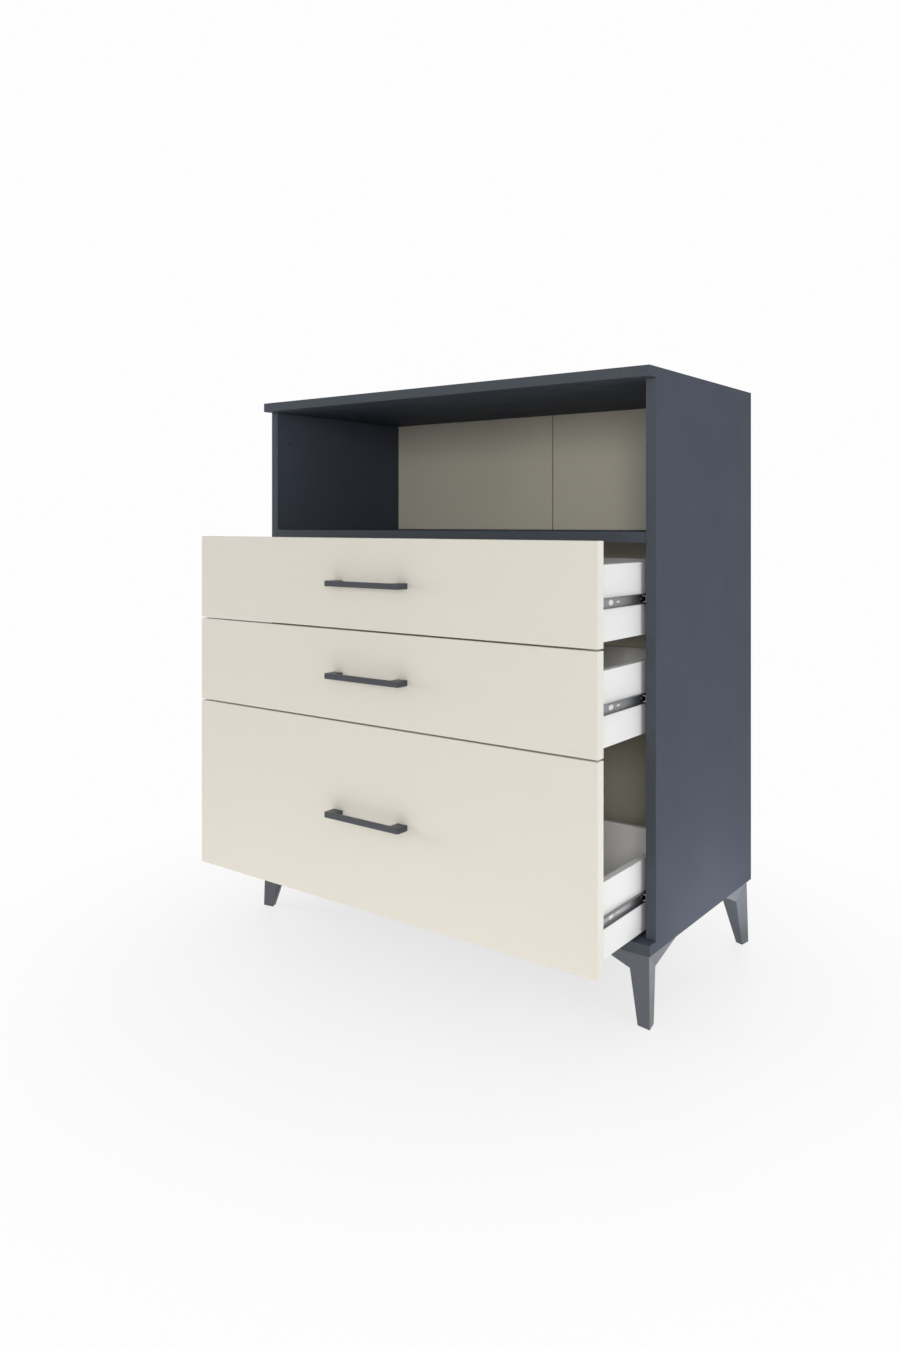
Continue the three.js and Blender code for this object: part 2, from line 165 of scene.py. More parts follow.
def scaled(tree, vector, amount):
    """A vector or a colour, multiplied by one number or by one number for each axis."""
    each = not isinstance(amount, bpy.types.NodeSocket) and hasattr(amount, "__len__")
    node = add_node(tree, "ShaderNodeVectorMath", operation="MULTIPLY" if each else "SCALE")
    feed(tree, node.inputs[0], vector)
    feed(tree, node.inputs[1] if each else node.inputs["Scale"], amount)
    return node.outputs[0]


fine = 3.0
finest = 4.0
usual_noise = (0.3, 0.7)


def noise(tree, vector, size, detail=2.0):
    """Soft random patches of about the given size in metres, mostly within usual_noise."""
    node = add_node(tree, "ShaderNodeTexNoise")
    feed(tree, node.inputs["Vector"], vector)
    varies = isinstance(size, bpy.types.NodeSocket)
    feed(tree, node.inputs["Scale"], maths(tree, "DIVIDE", 1.0, size) if varies else 1 / size)
    node.inputs["Detail"].default_value = detail
    return node.outputs[0]


def on_object(tree, output="Object"):
    """The place on the piece, or with "Normal" the way that its surface looks."""
    return add_node(tree, "ShaderNodeTexCoord").outputs[output]


axes = {"x": (1.0, 0.0, 0.0), "y": (0.0, 1.0, 0.0), "z": (0.0, 0.0, 1.0)}
half_turned = 0.6


def looking(tree, way):
    """How much the surface looks along an axis: 1 straight along it, -1 straight away."""
    node = add_node(tree, "ShaderNodeVectorMath", operation="DOT_PRODUCT")
    feed(tree, node.inputs[0], on_object(tree, "Normal"))
    feed(tree, node.inputs[1], way)
    return node.outputs["Value"]


print("a surface counts as looking along an axis above", half_turned)
print("noise is mostly between", usual_noise)

# %% [markdown]
# ## The studio
# Product pictures on white are lit from all round by a white tent, so shadows are faint and
# nothing glares. The world is the tent. Where the camera, a mirror or a glass looks at it, it is
# plain white.

# %% The tent: one white world
tent_level = 0.45
tent_white = (1.0, 1.0, 1.0, 1.0)
backdrop_white = (0.986, 0.986, 0.986, 1.0)
world = bpy.data.worlds.new("white_tent")
world.use_nodes = True
scene.world = world
tent = world.node_tree
tent.nodes.clear()


def seen_directly(tree):
    """1 for rays from the camera, a mirror or a glass, and 0 for rays that carry light."""
    rays = add_node(tree, "ShaderNodeLightPath").outputs
    direct = maths(tree, "MAXIMUM", rays["Is Camera Ray"], rays["Is Glossy Ray"])
    return maths(tree, "MAXIMUM", direct, rays["Is Transmission Ray"])


lighting = add_node(tent, "ShaderNodeBackground")
lighting.inputs["Color"].default_value = tent_white
lighting.inputs["Strength"].default_value = tent_level
backdrop = add_node(tent, "ShaderNodeBackground")
backdrop.inputs["Color"].default_value = backdrop_white
chooser = add_node(tent, "ShaderNodeMixShader")
feed(tent, chooser.inputs[0], seen_directly(tent))
feed(tent, chooser.inputs[1], lighting.outputs[0])
feed(tent, chooser.inputs[2], backdrop.outputs[0])
tent_out = add_node(tent, "ShaderNodeOutputWorld")
feed(tent, tent_out.inputs["Surface"], chooser.outputs[0])
scene.view_settings.view_transform = "Standard"
print("tent level", tent_level)

# %% [markdown]
# A tent alone gives every side the same light. In the photograph the gaps beside the drawers are
# bright, which takes one lamp beside the camera and one far out on the left, and both sides get
# brighter towards the floor, as they do beside white bounce cards. A wide screen of light stands on
# the right, and one behind, so that the back isn't left in the dark. The strengths were fitted:
# light adds up, so the shares that come closest to the photograph can be worked out. The card on
# the left was then turned down, so that the white boxes keep their shape seen from there. A small
# card low on the right lights nothing and is only mirrored: it is the streak in the lowest slide.
# Two strips behind the boxes lift the dark above them, as the pale insides of the chest do in the
# photograph. The camera sees none of the lamps.

# %% Helper for soft lamps
def soft_lamp(name, place, aim, size, radiance, glossy):
    """A rectangle of light. Its power is four times its area times its radiance."""
    width, depth = size
    lamp = bpy.data.lights.new(name, type="AREA")
    lamp.shape = "RECTANGLE"
    lamp.size = width
    lamp.size_y = depth
    lamp.energy = 4 * radiance * width * depth
    holder = bpy.data.objects.new(name, lamp)
    holder.location = place
    direction = Vector(aim) - Vector(place)
    holder.rotation_euler = direction.to_track_quat("-Z", "Y").to_euler()
    holder.visible_camera = False
    holder.visible_glossy = glossy
    scene.collection.objects.link(holder)
    print(name, round(lamp.energy, 1), "W")
    return holder


# %% Soft lamps
# each name comes with its place, what it looks at, its width and depth, and its radiance
lamp_table = {
    "front_bounce_card": ((-0.02, -0.62, 0.02), (-0.02, -0.62, 2), (1.2, 0.6), 0.43),
    "right_bounce_card": ((0.6, 0.13, 0.02), (0.6, 0.13, 2), (0.2, 0.38), 3.3),
    "slide_card": ((0.76, 0.34, 0.02), (0.76, 0.34, 2), (0.26, 0.3), 2.4),
    "upper_strip": ((0.15, 0.25, 0.66), (0.15, 0.3, 0.8), (0.5, 0.05), 0.28),
    "lower_strip": ((0.15, 0.25, 0.48), (0.15, 0.3, 0.62), (0.5, 0.05), 0.28),
    "soft_box": ((1.95, -3.0, 1.35), (0.2, 0.0, 0.55), (0.7, 0.7), 14.5),
    "right_screen": ((2.4, -0.8, 0.8), (0.3, 0.0, 0.6), (1.2, 1.2), 2.3),
    "right_wall": ((3.4, 0.0, 1.3), (0.3, 0.0, 0.7), (2.0, 2.0), 0.5),
    "left_card": ((-3.4, -1.0, 0.68), (0.0, -0.1, 0.55), (1.2, 1.2), 10.0),
    "rear_screen": ((0.0, 4.0, 1.6), (0.0, 0.3, 0.5), (2.0, 2.0), 5.5),
    "left_fill": ((-3.1, -2.9, 0.85), (0.0, -0.1, 0.5), (1.2, 1.2), 1.8),
}
mirrored = ("front_bounce_card", "slide_card")
lamps = {}
for name, settings in lamp_table.items():
    lamps[name] = soft_lamp(name, *settings, glossy=name in mirrored)
lamps["slide_card"].visible_diffuse = False

# %% [markdown]
# The floor is pale and matt, with the slightest gloss, and it fades into the white of the tent a
# metre out, so that no horizon shows. A true floor would go grey under a chest, and in the
# photograph it stays close to white. So where it is seen directly it is part light of its own, and
# the shadow shows through the rest.

# %% The floor
floor_half = 14.0
floor_drop = 0.2 * mm
floor_mesh = bpy.data.meshes.new("floor")
floor_corners = [(-1, -1), (1, -1), (1, 1), (-1, 1)]
floor_points = [(x * floor_half, y * floor_half, -floor_drop) for x, y in floor_corners]
floor_mesh.from_pydata(floor_points, [], [(0, 1, 2, 3)])
floor = bpy.data.objects.new("floor", floor_mesh)
scene.collection.objects.link(floor)
floor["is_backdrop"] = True

floor_colour = (0.88, 0.88, 0.885, 1)
floor_roughness = 0.4
floor_specular = 0.25
floor_material = bpy.data.materials.new("pale_floor")
floor_material.use_nodes = True
tree = floor_material.node_tree
tree.nodes.clear()
floor_matt = add_node(tree, "ShaderNodeBsdfPrincipled")
floor_matt.inputs["Base Color"].default_value = floor_colour
floor_matt.inputs["Roughness"].default_value = floor_roughness
floor_matt.inputs["Specular IOR Level"].default_value = floor_specular
distance = add_node(tree, "ShaderNodeVectorMath", operation="LENGTH")
feed(tree, distance.inputs[0], on_object(tree))
fade_start = 0.25
fade_end = 1.05
far = spread(tree, distance.outputs["Value"], 0.0, 1.0, fade_start, fade_end, smooth=True)
near_white = (0.99, 0.982, 0.986, 1)
floor_glow = add_node(tree, "ShaderNodeEmission")
feed(tree, floor_glow.inputs["Color"], mix_colour(tree, far, near_white, backdrop_white))
near_share = 0.72
glow_share = maths(tree, "MULTIPLY", seen_directly(tree), spread(tree, far, near_share, 1.0))
blend = add_node(tree, "ShaderNodeMixShader")
feed(tree, blend.inputs[0], glow_share)
feed(tree, blend.inputs[1], floor_matt.outputs[0])
feed(tree, blend.inputs[2], floor_glow.outputs[0])
floor_out = add_node(tree, "ShaderNodeOutputMaterial")
feed(tree, floor_out.inputs["Surface"], blend.outputs[0])
floor_mesh.materials.append(floor_material)
print("floor", 2 * floor_half, "m wide")

# %% [markdown]
# ## Shader groups: effects that several finishes share
# A group is a small tree with named inputs and outputs that can be placed in many materials, each
# time with its own values. It could hold the whole shader, but then an exporter can't read it. So
# the groups here put out only colours, masks, roughness and heights, and every material keeps its
# own Principled shader.

# %% Helpers for groups
socket_kinds = {
    "number": "NodeSocketFloat",
    "colour": "NodeSocketColor",
    "vector": "NodeSocketVector",
}


def new_group(name, inputs, outputs):
    group = bpy.data.node_groups.new(name, "ShaderNodeTree")
    for way, sockets in (("INPUT", inputs), ("OUTPUT", outputs)):
        for label, kind in sockets.items():
            group.interface.new_socket(name=label, in_out=way, socket_type=socket_kinds[kind])
    given = add_node(group, "NodeGroupInput").outputs
    result = add_node(group, "NodeGroupOutput").inputs
    print("group", name, "gives", ", ".join(outputs))
    return group, given, result


def use_group(tree, group, **values):
    """Places a group in a tree. The keywords are its input names, with _ for a space."""
    node = add_node(tree, "ShaderNodeGroup", node_tree=group)
    for name, value in values.items():
        feed(tree, node.inputs[name.replace("_", " ")], value)
    return node.outputs


# %% [markdown]
# **Laminate skin.** Laminated board is chipboard under a printed paper pressed in melamine. The
# press plate leaves a fine pore in it, and large boards never have quite the same tone all over.

# %% Group: laminate skin
skin, given, result = new_group(
    "laminate_skin",
    {"Colour": "colour", "Cloud": "number", "Pore Size": "number", "Roughness": "number"},
    {"Colour": "colour", "Roughness": "number", "Height": "number"},
)
where = on_object(skin)
cloud_size = 0.22
pore_tone = 0.5
pore_dulling = 0.05
clouds = swing(skin, noise(skin, where, cloud_size), 1.0)
pores = noise(skin, where, given["Pore Size"])
unevenness = maths(skin, "ADD", clouds, swing(skin, pores, pore_tone))
tone = maths(skin, "MULTIPLY_ADD", unevenness, given["Cloud"], 1.0)
feed(skin, result["Colour"], scaled(skin, given["Colour"], tone))
duller = swing(skin, pores, pore_dulling)
feed(skin, result["Roughness"], maths(skin, "ADD", given["Roughness"], duller))
feed(skin, result["Height"], pores)

# %% [markdown]
# **Edge band.** The narrow sides of a board are covered by a plastic band, ironed on. It never
# quite matches the face, and it is a little smoother. A face looks along one axis, so the band is
# wherever the surface looks another way.

# %% Group: edge band
band, given, result = new_group(
    "edge_band",
    {"Face": "colour", "Band": "colour", "Face Axis": "vector"},
    {"Colour": "colour", "Mask": "number"},
)
straight = maths(band, "ABSOLUTE", looking(band, given["Face Axis"]))
off_face = maths(band, "LESS_THAN", straight, half_turned)
feed(band, result["Colour"], mix_colour(band, off_face, given["Face"], given["Band"]))
feed(band, result["Mask"], off_face)

# %% [markdown]
# **Raw chipboard.** The rear edges of the carcass stand against a wall, so nobody bands them: the
# pressed chips show. Stretched cells of a Voronoi texture, each with its own brown, come close.

# %% Group: raw chipboard
chips, given, result = new_group(
    "raw_chipboard",
    {"Chip Size": "number"},
    {"Colour": "colour", "Height": "number", "Mask": "number"},
)
chip_stretch = (0.45, 1.0, 1.0)
cells = add_node(chips, "ShaderNodeTexVoronoi")
feed(chips, cells.inputs["Vector"], scaled(chips, on_object(chips), chip_stretch))
feed(chips, cells.inputs["Scale"], maths(chips, "DIVIDE", 1.0, given["Chip Size"]))
tones = add_node(chips, "ShaderNodeSeparateColor")
feed(chips, tones.inputs[0], cells.outputs["Color"])
light_chip = linear(196, 168, 128)
dark_chip = linear(140, 110, 76)
feed(chips, result["Colour"], mix_colour(chips, tones.outputs[0], dark_chip, light_chip))
feed(chips, result["Height"], tones.outputs[1])
rearward = looking(chips, axes["y"])
feed(chips, result["Mask"], maths(chips, "GREATER_THAN", rearward, half_turned))

# %% [markdown]
# **Handling haze.** Hands and cloths leave faint patches that are a little duller or glossier. It
# is seen only in the gloss, so the group puts out a change of roughness.

# %% Group: handling haze
haze, given, result = new_group(
    "handling_haze",
    {"Roughness": "number", "Amount": "number", "Patch Size": "number"},
    {"Roughness": "number"},
)
smears = noise(haze, on_object(haze), given["Patch Size"], fine)
patches = swing(haze, smears, 1.0, *usual_noise)
hazed = maths(haze, "MULTIPLY_ADD", patches, given["Amount"], given["Roughness"])
feed(haze, result["Roughness"], hazed)

# %% [markdown]
# **Rolled sheet.** The slides' sections are rolled from zinc-plated strip, which leaves fine lines
# along their length. Noise that is stretched along Y gives lines in tone, roughness and height.

# %% Group: rolled sheet
rolled, given, result = new_group(
    "rolled_sheet",
    {"Colour": "colour", "Line Size": "number", "Roughness": "number", "Amount": "number"},
    {"Colour": "colour", "Roughness": "number", "Height": "number"},
)
along_slide = (1.0, 0.02, 1.0)
where = on_object(rolled)
lines = noise(rolled, scaled(rolled, where, along_slide), given["Line Size"], fine)
zinc_size = 12 * mm
zinc_share = 0.6
line_share = 0.7
bloom = swing(rolled, noise(rolled, where, zinc_size), zinc_share)
shade = maths(rolled, "ADD", swing(rolled, lines, line_share), bloom)
tone = maths(rolled, "MULTIPLY_ADD", shade, given["Amount"], 1.0)
feed(rolled, result["Colour"], scaled(rolled, given["Colour"], tone))
duller = maths(rolled, "MULTIPLY_ADD", shade, given["Amount"], given["Roughness"])
feed(rolled, result["Roughness"], duller)
feed(rolled, result["Height"], lines)

# %% [markdown]
# ## Finishes
# Each finish starts from the same empty material. What is the same all over the surface is set on
# the shader itself, and what changes over it comes in through the groups.

# %% Helpers for materials
def new_material(name, metallic=0.0, specular=0.5):
    material = bpy.data.materials.new(name)
    material.use_nodes = True
    surface = material.node_tree.nodes["Principled BSDF"]
    surface.inputs["Metallic"].default_value = metallic
    surface.inputs["Specular IOR Level"].default_value = specular
    print("finish", name)
    return material, material.node_tree, surface.inputs


def add_bump(tree, surface, height, depth):
    bump = add_node(tree, "ShaderNodeBump")
    feed(tree, bump.inputs["Height"], height)
    bump.inputs["Distance"].default_value = depth
    feed(tree, surface["Normal"], bump.outputs[0])


# %% [markdown]
# **Laminated boards.** The carcass is a matt anthracite with a touch of blue, the fronts a satin
# cream and the drawer boxes white. One function makes them all, once for each way that a board can
# face, because the band group has to know which way is the face. The carcass has two ways of its
# own: its rear edges are raw, and the short ends of its boards have a band that matches the face.

# %% Helper for laminated boards
pore_depth = 0.03 * mm
chip_size = 2.2 * mm
board_haze = 0.05
haze_size = 0.09


def laminate(name, axis, face, edge, cloud, pore, roughness, specular, carcass=False):
    material, tree, surface = new_material(f"{name}_{axis}", specular=specular)
    if carcass:
        endways = maths(tree, "ABSOLUTE", looking(tree, axes["x"]))
        short_end = maths(tree, "GREATER_THAN", endways, half_turned)
        edge = mix_colour(tree, short_end, edge, face)
    colour = use_group(tree, band, Face=face, Band=edge, Face_Axis=axes[axis])["Colour"]
    pressed = use_group(
        tree, skin, Colour=colour, Cloud=cloud, Pore_Size=pore, Roughness=roughness
    )
    colour = pressed["Colour"]
    if carcass:
        raw = use_group(tree, chips, Chip_Size=chip_size)
        colour = mix_colour(tree, raw["Mask"], colour, raw["Colour"])
    feed(tree, surface["Base Color"], colour)
    worn = use_group(
        tree, haze, Roughness=pressed["Roughness"], Amount=board_haze, Patch_Size=haze_size
    )
    feed(tree, surface["Roughness"], worn["Roughness"])
    add_bump(tree, surface, pressed["Height"], pore_depth)
    return material


# %% Board colours
anthracite = linear(70, 75, 86), linear(76, 81, 88)
cream = linear(218, 213, 202), linear(219, 216, 207)
white = linear(226, 226, 226), linear(229, 229, 228)
print("each is a face and its edge band; the white face is", round(white[0][0], 3))

# %% One material for each colour and way
matt = {"cloud": 0.025, "pore": 1.1 * mm, "roughness": 0.6, "specular": 0.05}
satin = {"cloud": 0.008, "pore": 0.9 * mm, "roughness": 0.42, "specular": 0.12}
plain = {"cloud": 0.008, "pore": 0.9 * mm, "roughness": 0.5, "specular": 0.08}
boards = {}
for axis in axes:
    boards["anthracite", axis] = laminate(
        "anthracite_board", axis, *anthracite, **matt, carcass=True
    )
    boards["cream", axis] = laminate("cream_board", axis, *cream, **satin)
    boards["white", axis] = laminate("white_board", axis, *white, **plain)
print("board materials:", len(boards))

# %% [markdown]
# ** Thin sheet.** The back is hardboard, lacquered on the side that shows. The rest is bare brown
# fibre with a felt-like grain in it: the other side and the cut edges. A hair's breadth along the
# seam is painted in the same brown, as painted shade of the seam. The drawers' floors are cream on
# both sides, because their undersides show too, and only their cut edges are bare.

# %% The seam's painted shade and the fibre
fibre_light = linear(148, 121, 92)
fibre_dark = linear(108, 85, 62)
# the seam's dark line is painted shade: a band in the fibre's brown, this far onto each sheet's
# face
seam_shade_margin = 0.3 * mm
seam_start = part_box("back_panel_left")[1].x - seam_shade_margin
seam_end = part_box("back_panel_right")[0].x + seam_shade_margin
seam_middle = (seam_start + seam_end) / 2
seam_shade_reach = (seam_end - seam_start) / 2
print("the seam and its painted shade band are", round(2 * seam_shade_reach / mm, 2), "mm wide")


def fibre_and_seam_shade(tree, where, lacquered_side):
    """1 where the sheet shows brown fibre: bare on all sides but one, and along the seam as painted
    shade.
    """
    place = add_node(tree, "ShaderNodeSeparateXYZ")
    feed(tree, place.inputs[0], where)
    off_seam = maths(tree, "ABSOLUTE", maths(tree, "SUBTRACT", place.outputs["X"], seam_middle))
    painted_seam_shade = maths(tree, "LESS_THAN", off_seam, seam_shade_reach)
    elsewhere = maths(tree, "LESS_THAN", looking(tree, lacquered_side), half_turned)
    return maths(tree, "MAXIMUM", painted_seam_shade, elsewhere)


# %% Thin sheet
felt_flatten = (1.0, 1.0, 0.35)
felt_size = 1.6 * mm
felt_depth = 0.12 * mm
stain_size = 0.12
stain_tone = 0.12
bare_dulling = 0.35
coated_relief = 0.15


def hardboard(name, lacquer, lacquered_side):
    material, tree, surface = new_material(name, specular=0.15)
    coated = use_group(
        tree, skin, Colour=lacquer, Cloud=0.012, Pore_Size=0.7 * mm, Roughness=0.5
    )
    where = on_object(tree)
    felt = noise(tree, scaled(tree, where, felt_flatten), felt_size, finest)
    brown = mix_colour(tree, spread(tree, felt, 0.0, 1.0, *usual_noise), fibre_dark, fibre_light)
    blots = noise(tree, where, stain_size, fine)
    stain = spread(tree, blots, 1 - stain_tone, 1 + stain_tone, *usual_noise)
    # brown fibre where the sheet is bare, and as painted shade along the seam
    fibre_and_shade = fibre_and_seam_shade(tree, where, lacquered_side)
    colour = mix_colour(tree, fibre_and_shade, coated["Colour"], scaled(tree, brown, stain))
    feed(tree, surface["Base Color"], colour)
    rough = maths(tree, "MULTIPLY_ADD", fibre_and_shade, bare_dulling, coated["Roughness"])
    feed(tree, surface["Roughness"], rough)
    relief = maths(tree, "MULTIPLY", felt, spread(tree, fibre_and_shade, coated_relief, 1.0))
    add_bump(tree, surface, relief, felt_depth)
    return material


frontward = (0.0, -1.0, 0.0)
back_sheet = hardboard("back_sheet", linear(224, 218, 200), frontward)
floor_finish = {"cloud": 0.012, "pore": 0.7 * mm, "roughness": 0.5, "specular": 0.12}
floor_sheet = laminate("floor_sheet", "z", linear(234, 227, 214), fibre_light, **floor_finish)

# %% [markdown]
# ** Seam tape.** A crepe tape joins the two back sheets from behind. It is dark so that the gap
# between the sheets shows as painted shade from the front. Its crinkles run across it, so noise
# that is stretched along X gives the height.

# %% Seam tape
# the tape's dark tones also stand in for the shade in the seam's gap
tape_and_gap_shade_light = linear(66, 62, 58)
tape_and_gap_shade_dark = linear(46, 43, 41)
tape_roughness = (0.7, 0.9)
crinkle_stretch = (0.25, 1.0, 1.0)
crinkle_size = 1.2 * mm
crinkle_depth = 0.15 * mm
seam_tape, tree, surface = new_material("seam_tape", specular=0.3)
crinkle = noise(tree, scaled(tree, on_object(tree), crinkle_stretch), crinkle_size, fine)
feed(tree, surface["Base Color"], mix_colour(tree, crinkle, tape_and_gap_shade_dark, tape_and_gap_shade_light))
feed(tree, surface["Roughness"], spread(tree, crinkle, *tape_roughness))
add_bump(tree, surface, crinkle, crinkle_depth)

# %% [markdown]
# **Leg plastic.** The legs are moulded in a grey plastic with a faint silver in it. The mould is
# spark-eroded, which gives a fine even grain, and the flat facets are glossier than the boards.

# %% Leg plastic
leg_grey = linear(93, 97, 103)
grain_size = 0.5 * mm
grain_tone = 0.04
grain_depth = 0.02 * mm
flow_stretch = (1.0, 1.0, 0.3)
flow_size = 30 * mm
flow_tone = 0.03
leg_plastic, tree, surface = new_material("leg_plastic", specular=0.32)
where = on_object(tree)
grain = noise(tree, where, grain_size)
flow = noise(tree, scaled(tree, where, flow_stretch), flow_size)
grainy = spread(tree, grain, 1 - grain_tone, 1 + grain_tone)
tone = maths(tree, "ADD", grainy, swing(tree, flow, flow_tone))
feed(tree, surface["Base Color"], scaled(tree, leg_grey[:3], tone))
worn = use_group(tree, haze, Roughness=0.36, Amount=0.05, Patch_Size=30 * mm)
feed(tree, surface["Roughness"], worn["Roughness"])
add_bump(tree, surface, grain, grain_depth)

# %% [markdown]
# **Handle paint.** The bars are die-cast and painted a dark metallic grey. The flakes in the paint
# are far smaller than a pixel, so a fine noise in tone is all that they leave.

# %% Handle paint
handle_grey = linear(64, 67, 73)
flake_size = 0.25 * mm
flake_tone = 0.1
flake_depth = 0.01 * mm
handle_paint, tree, surface = new_material("handle_paint", metallic=0.25, specular=0.5)
flakes = noise(tree, on_object(tree), flake_size)
tone = spread(tree, flakes, 1 - flake_tone, 1 + flake_tone)
feed(tree, surface["Base Color"], scaled(tree, handle_grey[:3], tone))
worn = use_group(tree, haze, Roughness=0.42, Amount=0.06, Patch_Size=20 * mm)
feed(tree, surface["Roughness"], worn["Roughness"])
add_bump(tree, surface, flakes, flake_depth)

# %% [markdown]
# ** Slide steel.** The rails are zinc-plated strip, a little blue. The ball cages are the same strip,
# painted dark as the shade deep inside the slides, and a little smoother. The sheared ends, which
# look along Y, are bare steel, painted near white and less metallic as a highlight.

# %% Slide steel
line_depth = 0.01 * mm
# the sheared ends are bare steel, painted near white and less metallic as a painted highlight
end_highlight_white = linear(226, 226, 225)
end_highlight_metallic = 0.2


def sheet_steel(name, colour, line_size, roughness, amount):
    material, tree, surface = new_material(name, metallic=1.0)
    strip = use_group(
        tree, rolled, Colour=colour, Line_Size=line_size, Roughness=roughness, Amount=amount
    )
    endways = maths(tree, "ABSOLUTE", looking(tree, axes["y"]))
    highlighted_end = maths(tree, "GREATER_THAN", endways, half_turned)
    feed(tree, surface["Base Color"], mix_colour(tree, highlighted_end, strip["Colour"], end_highlight_white))
    feed(tree, surface["Metallic"], spread(tree, highlighted_end, 1.0, end_highlight_metallic))
    feed(tree, surface["Roughness"], strip["Roughness"])
    add_bump(tree, surface, strip["Height"], line_depth)
    return material


rail_grey = linear(150, 151, 153)
# the cages' dark grey is painted shade of the slide's inside
shaded_cage_grey = linear(48, 47, 45)
rail_steel = sheet_steel("rail_steel", rail_grey, line_size=0.5 * mm, roughness=0.4, amount=0.1)
cage_steel = sheet_steel("cage_steel", shaded_cage_grey, line_size=0.7 * mm, roughness=0.34, amount=0.12)

# %% [markdown]
# **Screw steel.** Small screws are barrel-plated, so they tumble against each other and come out
# with a brushed, uneven shine.

# %% Screw steel
screw_grey = linear(190, 188, 182)
screw_tone = (0.85, 1.1)
screw_roughness = (0.26, 0.42)
tumble_size = 0.6 * mm
screw_steel, tree, surface = new_material("screw_steel", metallic=1.0)
tumbled = noise(tree, on_object(tree), tumble_size, fine)
tone = spread(tree, tumbled, *screw_tone)
feed(tree, surface["Base Color"], scaled(tree, screw_grey[:3], tone))
feed(tree, surface["Roughness"], spread(tree, tumbled, *screw_roughness))

# %% [markdown]
# ## The CAD pieces get their finishes
# A piece keeps its shape from CAD and only its material slot is filled. The name says what it is,
# and for a board the thinnest side of its box says which way it faces.

# %% Finishes for the CAD pieces
finish_by_ending = {
    "_leg": leg_plastic,
    "_handle": handle_paint,
    "_drawer_front": boards["cream", "y"],
    "_drawer_floor": floor_sheet,
    "_seam_tape": seam_tape,
}
finish_by_word = {
    "back_panel": back_sheet,
    "handle_screw": screw_steel,
    "ball_cage": cage_steel,
    "_rail_": rail_steel,
}


def finish_for(name):
    for ending, finish in finish_by_ending.items():
        if name.endswith(ending):
            return finish
    for word, finish in finish_by_word.items():
        if word in name:
            return finish
    low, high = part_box(name)
    sides = list(high - low)
    axis = "xyz"[sides.index(min(sides))]
    return boards["white" if "_drawer_" in name else "anthracite", axis]


for name, node in nodes.items():
    node.data.materials.clear()
    node.data.materials.append(finish_for(name))
print("finished", len(nodes), "pieces")

# %% [markdown]
# ## Softened edges on the legs and the handles
# A moulded leg and a cast handle have no knife edges: a small round catches the light along each
# one. The CAD pieces have the right facets, so a merged copy of each gets a Bevel modifier and
# then stands for the CAD piece.

# %% Helpers for rounded copies
merge_distance = 0.002 * mm
flat_angle = math.radians(1)
round_angle = math.radians(20)
round_steps = 2
print("edges sharper than", round(math.degrees(round_angle)), "degrees are rounded")


def add_object(name, mesh):
    made = bpy.data.objects.new(name, mesh)
    scene.collection.objects.link(made)
    return made


def merged_copy(name):
    """A closed mesh from a CAD piece, whose triangles are loose, with its flat faces joined up."""
    mesh = nodes[name].data.copy()
    shape = bmesh.new()
    shape.from_mesh(mesh)
    bmesh.ops.remove_doubles(shape, verts=shape.verts, dist=merge_distance)
    bmesh.ops.dissolve_limit(shape, angle_limit=flat_angle, verts=shape.verts, edges=shape.edges)
    bmesh.ops.recalc_face_normals(shape, faces=shape.faces)
    shape.to_mesh(mesh)
    shape.free()
    return mesh


def baked(draft, name):
    """A plain mesh from an object with modifiers, which is then put away."""
    bpy.context.view_layer.update()
    graph = bpy.context.evaluated_depsgraph_get()
    mesh = bpy.data.meshes.new_from_object(draft.evaluated_get(graph))
    mesh.name = name
    bpy.data.objects.remove(draft)
    return add_object(name, mesh)


def rounded(name, made_name, width):
    draft = add_object("draft_" + name, merged_copy(name))
    bevel = draft.modifiers.new("rounded", "BEVEL")
    bevel.width = width
    bevel.segments = round_steps
    bevel.limit_method = "ANGLE"
    bevel.angle_limit = round_angle
    return baked(draft, made_name)


def place_piece(piece, body, finish=None):
    if finish:
        piece.data.materials.clear()
        piece.data.materials.append(finish)
    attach(piece, body)
    print(piece.name, "rides on", body, "with", len(piece.data.polygons), "faces")


# %% [markdown]
# **Closed joints.** The side panels are pulled tight between the top and the bottom panel, and the
# joints are filled, so no line shows there. The CAD boards keep a hair's breadth apart and have
# eased edges, which leaves a small groove outside. A bar in the boards' finish fills each groove:
# wide outside and narrow inside, like the groove itself.

# %% Bars that close the carcass joints
edge_ease = 0.5 * mm
joint_slack = 0.02 * mm
bar_depth = edge_ease - 2 * joint_slack


def joint_bar(shape, outer, inner, start, end, low_y, high_y):
    """A wedge along Y. start and end are the heights of the two boards' faces that meet."""
    profile = [(outer, start - bar_depth), (outer, end + bar_depth), (inner, end), (inner, start)]
    near, far = [[shape.verts.new((x, y, z)) for x, z in profile] for y in (low_y, high_y)]
    shape.faces.new(near)
    shape.faces.new(reversed(far))
    for here in range(4):
        there = (here + 1) % 4
        shape.faces.new((near[here], far[here], far[there], near[there]))


joints = bmesh.new()
for side, outward in (("left_side_panel", -1), ("right_side_panel", 1)):
    low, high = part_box(side)
    outer = (high.x if outward > 0 else low.x) - outward * joint_slack
    inner = outer - outward * bar_depth
    ends_y = (low.y + edge_ease, high.y - edge_ease)
    joint_bar(joints, outer, inner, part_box("bottom_panel")[1].z, low.z, *ends_y)
    joint_bar(joints, outer, inner, high.z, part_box("top_panel")[0].z, *ends_y)
bmesh.ops.recalc_face_normals(joints, faces=joints.faces)
joint_mesh = bpy.data.meshes.new("closed_joints")
joints.to_mesh(joint_mesh)
joints.free()
closed_joints = add_object("closed_joints", joint_mesh)
place_piece(closed_joints, "carcass", boards["anthracite", "x"])

